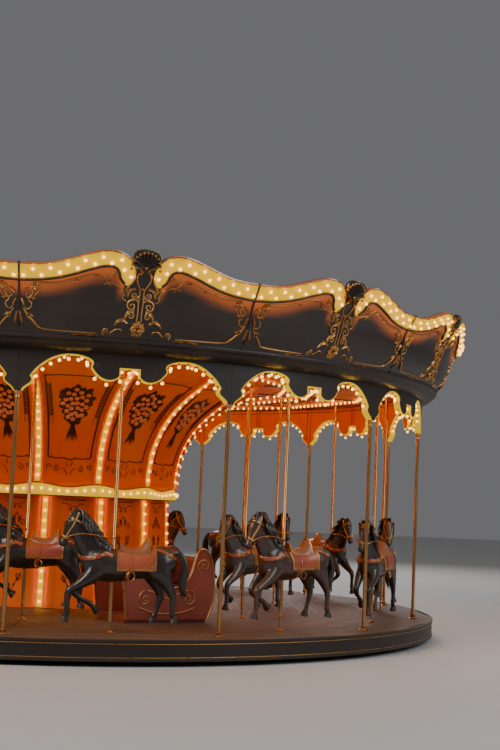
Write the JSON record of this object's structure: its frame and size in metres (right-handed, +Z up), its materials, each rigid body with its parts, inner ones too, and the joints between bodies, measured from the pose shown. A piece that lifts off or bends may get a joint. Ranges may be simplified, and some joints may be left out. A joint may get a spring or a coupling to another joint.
{
  "type": "fairground carousel",
  "caption": "Round fairground ride: a deck under a scalloped, lamp-lit canopy turns about a mast, and horses rise and fall on poles.",
  "frame": {"origin": "on the ground, on the mast's axis", "axes": "+Z up the mast; -Y points from the mast to the first corner pole"},
  "size_m": [12.48, 12.213, 5.3633],
  "materials": {
    "frame_paint": "satin dark paint on steel",
    "ceiling_paint": "painted board, satin",
    "valance_paint": "dark painted board outside, orange inside",
    "crown_paint": "moulded board, dark satin paint with gilding",
    "roof_canvas": "coated canvas",
    "gilding": "gold leaf, worn",
    "panel_paint": "painted panels, satin",
    "belt_glow": "lit moulding",
    "deck_boards": "worn deck boards",
    "rim_paint": "dark painted skirt",
    "pole_brass": "polished copper and brass sleeve",
    "carriage_paint": "painted carving with gilding",
    "horse_paint": "painted glass fibre, satin gloss"
  },
  "bodies": {
    "base": {"base_frame": "frame_paint", "centre_mast": "frame_paint"},
    "rotor": {"sweeps": "frame_paint", "ceiling": "ceiling_paint", "valance": "valance_paint", "crown_board_01": "crown_paint", "crown_board_02": "crown_paint", "crown_board_03": "crown_paint", "crown_board_04": "crown_paint", "crown_board_05": "crown_paint", "crown_board_06": "crown_paint", "crown_board_07": "crown_paint", "crown_board_08": "crown_paint", "crown_board_09": "crown_paint", "crown_board_10": "crown_paint", "crown_board_11": "crown_paint", "crown_board_12": "crown_paint", "crown_board_13": "crown_paint", "crown_board_14": "crown_paint", "canopy": "roof_canvas", "canopy_cap": "gilding", "drum_lower": "panel_paint", "light_belt": "belt_glow", "flare": "panel_paint", "deck": "deck_boards", "deck_rim": "rim_paint", "deck_frame": "frame_paint", "corner_poles": "pole_brass", "carriage_1": "carriage_paint", "carriage_2": "carriage_paint"},
    "horse_outer_01": {"horse_outer_01": "horse_paint"},
    "horse_outer_02": {"horse_outer_02": "horse_paint"},
    "horse_outer_03": {"horse_outer_03": "horse_paint"},
    "horse_outer_04": {"horse_outer_04": "horse_paint"},
    "horse_outer_05": {"horse_outer_05": "horse_paint"},
    "horse_outer_06": {"horse_outer_06": "horse_paint"},
    "horse_outer_07": {"horse_outer_07": "horse_paint"},
    "horse_outer_08": {"horse_outer_08": "horse_paint"},
    "horse_outer_09": {"horse_outer_09": "horse_paint"},
    "horse_outer_10": {"horse_outer_10": "horse_paint"},
    "horse_outer_11": {"horse_outer_11": "horse_paint"},
    "horse_outer_12": {"horse_outer_12": "horse_paint"},
    "horse_outer_13": {"horse_outer_13": "horse_paint"},
    "horse_outer_14": {"horse_outer_14": "horse_paint"},
    "horse_inner_01": {"horse_inner_01": "horse_paint"},
    "horse_inner_02": {"horse_inner_02": "horse_paint"},
    "horse_inner_03": {"horse_inner_03": "horse_paint"},
    "horse_inner_04": {"horse_inner_04": "horse_paint"},
    "horse_inner_05": {"horse_inner_05": "horse_paint"},
    "horse_inner_06": {"horse_inner_06": "horse_paint"},
    "horse_inner_07": {"horse_inner_07": "horse_paint"}
  },
  "joints": [
    {"name": "carousel_spin", "type": "hinge", "parent": "base", "child": "rotor", "pos_m": [0, 0, 0], "axis": [0, 0, 1], "continuous": true},
    {"name": "horse_outer_01_rise", "type": "slide", "parent": "rotor", "child": "horse_outer_01", "axis": [0, 0, 1], "range_m": [-0.08, 0.12]},
    {"name": "horse_outer_02_rise", "type": "slide", "parent": "rotor", "child": "horse_outer_02", "axis": [0, 0, 1], "range_m": [-0.12, 0.08]},
    {"name": "horse_outer_03_rise", "type": "slide", "parent": "rotor", "child": "horse_outer_03", "axis": [0, 0, 1], "range_m": [-0.08, 0.12]},
    {"name": "horse_outer_04_rise", "type": "slide", "parent": "rotor", "child": "horse_outer_04", "axis": [0, 0, 1], "range_m": [-0.12, 0.08]},
    {"name": "horse_outer_05_rise", "type": "slide", "parent": "rotor", "child": "horse_outer_05", "axis": [0, 0, 1], "range_m": [-0.08, 0.12]},
    {"name": "horse_outer_06_rise", "type": "slide", "parent": "rotor", "child": "horse_outer_06", "axis": [0, 0, 1], "range_m": [-0.12, 0.08]},
    {"name": "horse_outer_07_rise", "type": "slide", "parent": "rotor", "child": "horse_outer_07", "axis": [0, 0, 1], "range_m": [-0.08, 0.12]},
    {"name": "horse_outer_08_rise", "type": "slide", "parent": "rotor", "child": "horse_outer_08", "axis": [0, 0, 1], "range_m": [-0.12, 0.08]},
    {"name": "horse_outer_09_rise", "type": "slide", "parent": "rotor", "child": "horse_outer_09", "axis": [0, 0, 1], "range_m": [-0.08, 0.12]},
    {"name": "horse_outer_10_rise", "type": "slide", "parent": "rotor", "child": "horse_outer_10", "axis": [0, 0, 1], "range_m": [-0.12, 0.08]},
    {"name": "horse_outer_11_rise", "type": "slide", "parent": "rotor", "child": "horse_outer_11", "axis": [0, 0, 1], "range_m": [-0.08, 0.12]},
    {"name": "horse_outer_12_rise", "type": "slide", "parent": "rotor", "child": "horse_outer_12", "axis": [0, 0, 1], "range_m": [-0.12, 0.08]},
    {"name": "horse_outer_13_rise", "type": "slide", "parent": "rotor", "child": "horse_outer_13", "axis": [0, 0, 1], "range_m": [-0.08, 0.12]},
    {"name": "horse_outer_14_rise", "type": "slide", "parent": "rotor", "child": "horse_outer_14", "axis": [0, 0, 1], "range_m": [-0.12, 0.08]},
    {"name": "horse_inner_01_rise", "type": "slide", "parent": "rotor", "child": "horse_inner_01", "axis": [0, 0, 1], "range_m": [-0.12, 0.08]},
    {"name": "horse_inner_02_rise", "type": "slide", "parent": "rotor", "child": "horse_inner_02", "axis": [0, 0, 1], "range_m": [-0.08, 0.12]},
    {"name": "horse_inner_03_rise", "type": "slide", "parent": "rotor", "child": "horse_inner_03", "axis": [0, 0, 1], "range_m": [-0.12, 0.08]},
    {"name": "horse_inner_04_rise", "type": "slide", "parent": "rotor", "child": "horse_inner_04", "axis": [0, 0, 1], "range_m": [-0.08, 0.12]},
    {"name": "horse_inner_05_rise", "type": "slide", "parent": "rotor", "child": "horse_inner_05", "axis": [0, 0, 1], "range_m": [-0.12, 0.08]},
    {"name": "horse_inner_06_rise", "type": "slide", "parent": "rotor", "child": "horse_inner_06", "axis": [0, 0, 1], "range_m": [-0.08, 0.12]},
    {"name": "horse_inner_07_rise", "type": "slide", "parent": "rotor", "child": "horse_inner_07", "axis": [0, 0, 1], "range_m": [-0.12, 0.08]}
  ],
  "couplings": [
    {"joint": "horse_outer_02_rise", "follows": "horse_outer_01_rise", "ratio": -1},
    {"joint": "horse_outer_03_rise", "follows": "horse_outer_01_rise", "ratio": 1},
    {"joint": "horse_outer_04_rise", "follows": "horse_outer_01_rise", "ratio": -1},
    {"joint": "horse_outer_05_rise", "follows": "horse_outer_01_rise", "ratio": 1},
    {"joint": "horse_outer_06_rise", "follows": "horse_outer_01_rise", "ratio": -1},
    {"joint": "horse_outer_07_rise", "follows": "horse_outer_01_rise", "ratio": 1},
    {"joint": "horse_outer_08_rise", "follows": "horse_outer_01_rise", "ratio": -1},
    {"joint": "horse_outer_09_rise", "follows": "horse_outer_01_rise", "ratio": 1},
    {"joint": "horse_outer_10_rise", "follows": "horse_outer_01_rise", "ratio": -1},
    {"joint": "horse_outer_11_rise", "follows": "horse_outer_01_rise", "ratio": 1},
    {"joint": "horse_outer_12_rise", "follows": "horse_outer_01_rise", "ratio": -1},
    {"joint": "horse_outer_13_rise", "follows": "horse_outer_01_rise", "ratio": 1},
    {"joint": "horse_outer_14_rise", "follows": "horse_outer_01_rise", "ratio": -1},
    {"joint": "horse_inner_01_rise", "follows": "horse_outer_01_rise", "ratio": -1},
    {"joint": "horse_inner_02_rise", "follows": "horse_outer_01_rise", "ratio": 1},
    {"joint": "horse_inner_03_rise", "follows": "horse_outer_01_rise", "ratio": -1},
    {"joint": "horse_inner_04_rise", "follows": "horse_outer_01_rise", "ratio": 1},
    {"joint": "horse_inner_05_rise", "follows": "horse_outer_01_rise", "ratio": -1},
    {"joint": "horse_inner_06_rise", "follows": "horse_outer_01_rise", "ratio": 1},
    {"joint": "horse_inner_07_rise", "follows": "horse_outer_01_rise", "ratio": -1}
  ]
}
